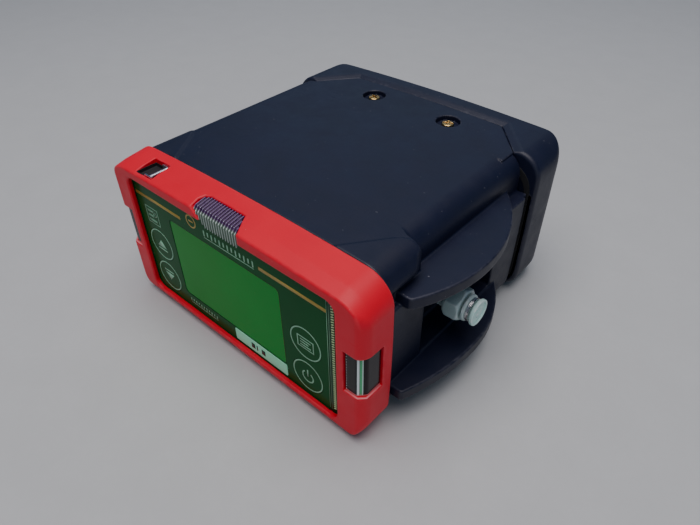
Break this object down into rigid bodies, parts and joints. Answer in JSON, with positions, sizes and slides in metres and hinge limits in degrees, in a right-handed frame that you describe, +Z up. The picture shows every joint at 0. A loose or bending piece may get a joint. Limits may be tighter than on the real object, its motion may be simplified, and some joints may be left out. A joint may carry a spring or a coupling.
{
  "type": "portable gas monitor",
  "caption": "Boxy suction-type gas monitor: red front bezel with display and keys, dark case with guard fins over a side gas inlet.",
  "frame": {"origin": "centre of the whole footprint, guard fins and inlet included, on the plane the rubber feet stand on; the case's own middle plane is at X = -5.8 mm", "axes": "+Z up, +X to the right of somebody reading the display, +Y towards the battery unit at the back"},
  "size_m": [0.1656, 0.152, 0.081],
  "materials": {
    "bezel_red": "fine moulded satin",
    "case_dark": "fine moulded matt grain",
    "gasket_black": "matt",
    "steel": "bright",
    "motor_can": "drawn can",
    "brass": "plated",
    "panel_print": "printed overlay",
    "label": "printed label",
    "clear_plastic": "clear polycarbonate",
    "lcd_glass": "display window",
    "lcd_frame": "frame",
    "led_white": "diffused",
    "board_green": "solder mask",
    "moulded_black": "moulded",
    "frosted_fitting": "frosted translucent",
    "filter_white": "sintered",
    "chamber_white": "machined",
    "sensor_ivory": "moulded",
    "tube_clear": "translucent elastomer",
    "cell_blue": "plain sleeve"
  },
  "bodies": {
    "case": {"front_bezel": "bezel_red", "bezel_gasket": "gasket_black", "bezel_screws": "steel", "strap_bracket": "steel", "strap_pin": "steel", "front_panel": "panel_print", "label_strip": "label", "side_diffuser": "clear_plastic", "lcd_window": "lcd_glass", "lcd_module": "lcd_frame", "lamp_lens_top": "clear_plastic", "lamp_lens_left": "clear_plastic", "lamp_lens_right": "clear_plastic", "light_guide_left": "clear_plastic", "light_guide_right": "clear_plastic", "alarm_leds": "led_white", "key_boards": "board_green", "key_domes": "steel", "main_housing": "case_dark", "feet": "gasket_black", "main_board": "board_green", "board_pillars": "brass", "buzzer": "moulded_black", "inlet_body": "frosted_fitting", "inlet_o_ring": "gasket_black", "inlet_connector": "frosted_fitting", "inlet_ring": "steel", "inlet_filter": "filter_white", "outlet_body": "frosted_fitting", "outlet_nut": "frosted_fitting", "sensor_chamber": "chamber_white", "gas_sensor": "sensor_ivory", "sensor_seal": "gasket_black", "pump_body": "moulded_black", "pump_motor": "motor_can", "pump_diaphragm": "gasket_black", "inlet_tube": "tube_clear", "transfer_tube": "tube_clear", "outlet_tube": "tube_clear", "rear_cover": "case_dark", "rear_gasket": "gasket_black", "top_screws": "brass", "battery_holder": "moulded_black", "battery_cells": "cell_blue", "contact_springs": "steel", "contact_plates": "steel", "door_pin": "steel"},
    "key_up": {"key_up": "panel_print"},
    "key_down": {"key_down": "panel_print"},
    "key_display": {"key_display": "panel_print"},
    "key_power": {"key_power": "panel_print"},
    "inlet_nut": {"inlet_nut": "frosted_fitting"},
    "inlet_cap": {"inlet_cap": "frosted_fitting"},
    "battery_door": {"battery_door": "case_dark", "door_seal": "gasket_black"},
    "pump_crank": {"pump_crank": "brass"}
  },
  "joints": [
    {"name": "key_up_press", "type": "slide", "parent": "case", "child": "key_up", "axis": [0, 1, 0], "range_m": [0, 0.0005], "stiffness_N_per_m": 2500, "springref_m": -0.0004},
    {"name": "key_down_press", "type": "slide", "parent": "case", "child": "key_down", "axis": [0, 1, 0], "range_m": [0, 0.0005], "stiffness_N_per_m": 2500, "springref_m": -0.0004},
    {"name": "key_display_press", "type": "slide", "parent": "case", "child": "key_display", "axis": [0, 1, 0], "range_m": [0, 0.0005], "stiffness_N_per_m": 2500, "springref_m": -0.0004},
    {"name": "key_power_press", "type": "slide", "parent": "case", "child": "key_power", "axis": [0, 1, 0], "range_m": [0, 0.0005], "stiffness_N_per_m": 2500, "springref_m": -0.0004},
    {"name": "inlet_nut_turn", "type": "hinge", "parent": "case", "child": "inlet_nut", "pos_m": [0.0712, -0.016, 0.0405], "axis": [1, 0, 0], "range_deg": [0, 540]},
    {"name": "inlet_cap_pull", "type": "slide", "parent": "case", "child": "inlet_cap", "axis": [1, 0, 0], "range_m": [0, 0.012]},
    {"name": "battery_door_swing", "type": "hinge", "parent": "case", "child": "battery_door", "pos_m": [-0.0654, 0.0732, 0.042], "axis": [0, 0, 1], "range_deg": [0, 110]},
    {"name": "pump_crank_spin", "type": "hinge", "parent": "case", "child": "pump_crank", "pos_m": [-0.0358, -0.006, 0.018], "axis": [0, 1, 0], "continuous": true}
  ]
}
